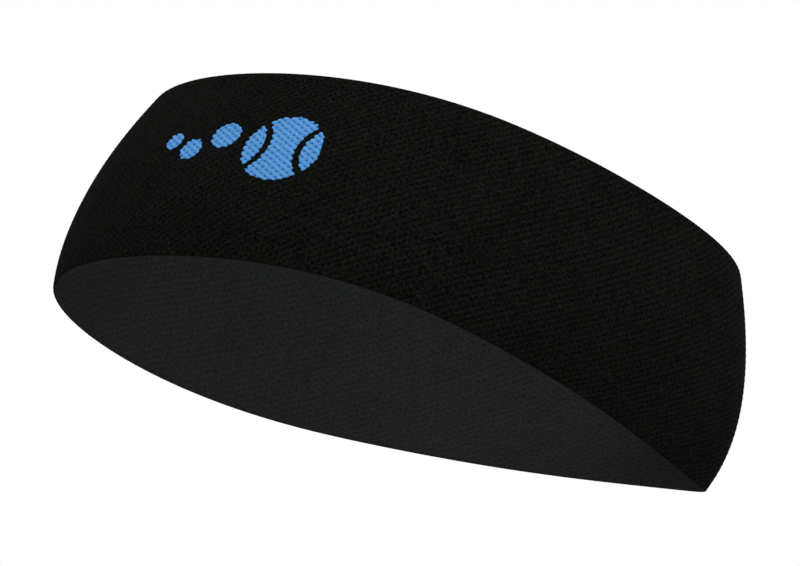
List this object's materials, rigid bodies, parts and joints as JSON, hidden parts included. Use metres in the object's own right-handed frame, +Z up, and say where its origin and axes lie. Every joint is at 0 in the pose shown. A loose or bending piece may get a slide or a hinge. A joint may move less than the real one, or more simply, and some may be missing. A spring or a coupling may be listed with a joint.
{
  "type": "sports headband",
  "caption": "Two-layer knitted sports headband: a soft stretch band worn round the forehead to absorb sweat and hold back hair, held open and standing on its lower rim.",
  "frame": {"origin": "middle of the band in plan, at the level of the lower rim that it stands on", "axes": "+Z up as worn; X along the band's length, with the pinched end of the lower rim at +X and the blunt end at -X; -Y is the side with the motif"},
  "size_m": [0.2104, 0.1618, 0.063],
  "materials": {
    "outer_knit": "matte black tuck-knit polyester with a fine honeycomb of dimples",
    "lining_knit": "matte dark grey tuck-knit polyester with a fine honeycomb of dimples",
    "welt_knit": "matte black knit turned over the rim",
    "covered_elastic": "off-white yarn wound round an elastic core",
    "linking_thread": "dark polyester sewing thread",
    "motif_yarn": "light blue knitting yarn, slightly raised stitches"
  },
  "bodies": {
    "root": {"outer_shell": "outer_knit", "inner_lining": "lining_knit", "lower_welt": "welt_knit", "upper_welt": "welt_knit", "lower_elastic": "covered_elastic", "upper_elastic": "covered_elastic", "lower_linking_thread": "linking_thread", "upper_linking_thread": "linking_thread", "motif_ball": "motif_yarn", "motif_dots": "motif_yarn", "motif_floats": "motif_yarn"}
  },
  "joints": []
}
